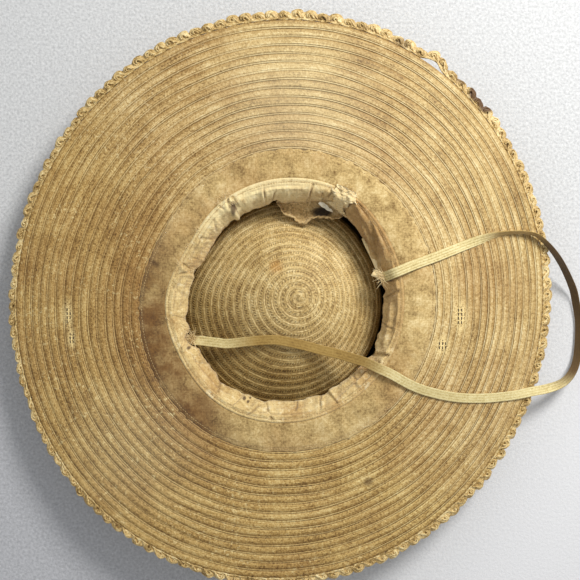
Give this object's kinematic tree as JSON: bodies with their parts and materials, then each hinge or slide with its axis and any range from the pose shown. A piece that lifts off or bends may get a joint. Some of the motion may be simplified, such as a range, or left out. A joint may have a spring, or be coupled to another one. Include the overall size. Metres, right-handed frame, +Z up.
{
  "type": "sun hat",
  "caption": "Wide-brimmed sun hat of sewn straw braid, lying crown down, with a drooping brim, scalloped edge trim, cotton sweatband and a flat chin strap loop.",
  "frame": {"origin": "below the middle of the brim's outline, on the surface that the crown rests on", "axes": "+Z up, out of the head opening, +X towards the side where the strap hangs over the rim, +Y at right angles to both"},
  "size_m": [0.4907, 0.4708, 0.0736],
  "materials": {
    "crown_straw": "sewn straw braid, dull, with dotted rows of stitching",
    "brim_straw": "sewn straw braid, dull, worn and stained browner at the left",
    "facing_cloth": "plain woven cloth with brown stains",
    "trim_braid": "looped braid, slightly shiny",
    "band_cotton": "soft creased cotton, stained",
    "flap_cloth": "worn brown cloth",
    "scrap_tape": "frayed pale cotton",
    "strap_tape": "ribbed woven tape"
  },
  "bodies": {
    "root": {"crown": "crown_straw", "brim": "brim_straw", "brim_facing": "facing_cloth", "edge_trim": "trim_braid", "sweatband": "band_cotton", "band_flap": "flap_cloth", "torn_scrap": "scrap_tape", "chin_strap": "strap_tape", "strap_end_left": "strap_tape", "strap_end_right": "strap_tape"}
  },
  "joints": []
}
